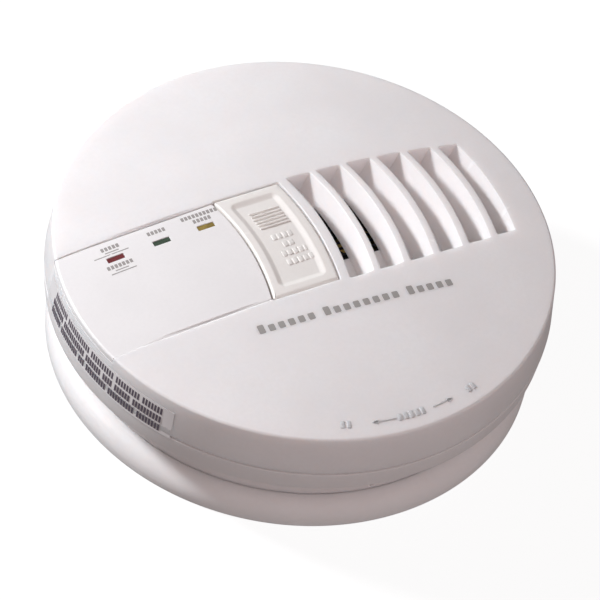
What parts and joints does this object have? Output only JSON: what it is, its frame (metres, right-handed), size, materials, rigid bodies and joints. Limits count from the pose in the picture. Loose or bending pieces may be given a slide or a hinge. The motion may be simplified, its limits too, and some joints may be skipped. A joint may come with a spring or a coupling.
{
  "type": "carbon monoxide detector",
  "caption": "Round mains-wired carbon monoxide alarm with battery backup: domed louvred face, large test button, indicator windows, rear battery door and twist-off mounting bracket.",
  "frame": {"origin": "centre of the mounting bracket's back plane, where it meets the wall or ceiling", "axes": "+Z out of the alarm's domed face, +X from the indicator panel towards the louvres, +Y across the face"},
  "size_m": [0.146, 0.1458, 0.0455],
  "materials": {
    "white_shell": "fine satin, warm white",
    "ivory_button": "satin, slightly creamier than the shell",
    "label_film": "thin printed film",
    "black_plastic": "moulded, fine grain",
    "board_green": "solder mask on glass laminate",
    "transformer_steel": "varnished core and winding",
    "battery_jacket": "printed metal jacket",
    "brass": "plain",
    "steel": "zinc plated",
    "red_lens": "tinted, unlit",
    "green_lens": "tinted, unlit",
    "amber_lens": "tinted, unlit"
  },
  "bodies": {
    "bracket": {"mounting_bracket": "white_shell"},
    "alarm": {"back_housing": "white_shell", "front_cover": "white_shell", "indicator_panel": "white_shell", "side_label": "label_film", "rating_label": "label_film", "button_guide": "black_plastic", "button_spring": "steel", "test_switch": "black_plastic", "circuit_board": "board_green", "board_screw_1": "steel", "board_screw_2": "steel", "case_screw_1": "steel", "case_screw_2": "steel", "case_screw_3": "steel", "case_screw_4": "steel", "red_light_pipe": "red_lens", "red_led": "red_lens", "green_light_pipe": "green_lens", "green_led": "green_lens", "amber_light_pipe": "amber_lens", "amber_led": "amber_lens", "horn_housing": "black_plastic", "piezo_disc": "brass", "insect_screen": "steel", "co_sensor": "steel", "co_sensor_filter": "black_plastic", "microcontroller": "black_plastic", "transformer": "transformer_steel", "film_capacitor": "black_plastic", "electrolytic_capacitor": "black_plastic", "mains_inlet": "black_plastic", "inlet_pin_1": "brass", "inlet_pin_2": "brass", "inlet_pin_3": "brass", "battery": "battery_jacket", "battery_contact_1": "steel", "battery_contact_2": "steel"},
    "button": {"test_button": "ivory_button"},
    "plunger": {"switch_plunger": "ivory_button"},
    "door": {"battery_door": "white_shell"}
  },
  "joints": [
    {"name": "bracket_twist", "type": "hinge", "parent": "bracket", "child": "alarm", "pos_m": [0, 0, 0.006], "axis": [0, 0, 1], "range_deg": [0, 15]},
    {"name": "button_press", "type": "slide", "parent": "alarm", "child": "button", "axis": [0, 0, -1], "range_m": [0, 0.0012], "stiffness_N_per_m": 400, "springref_m": -0.001, "deforming": ["button_spring"]},
    {"name": "plunger_press", "type": "slide", "parent": "alarm", "child": "plunger", "axis": [0, 0, -1], "range_m": [0, 0.0012]},
    {"name": "door_hinge", "type": "hinge", "parent": "alarm", "child": "door", "pos_m": [0.0038, 0, 0.005], "axis": [0, -1, 0], "range_deg": [0, 95]}
  ],
  "couplings": [
    {"joint": "plunger_press", "follows": "button_press", "ratio": 1}
  ]
}
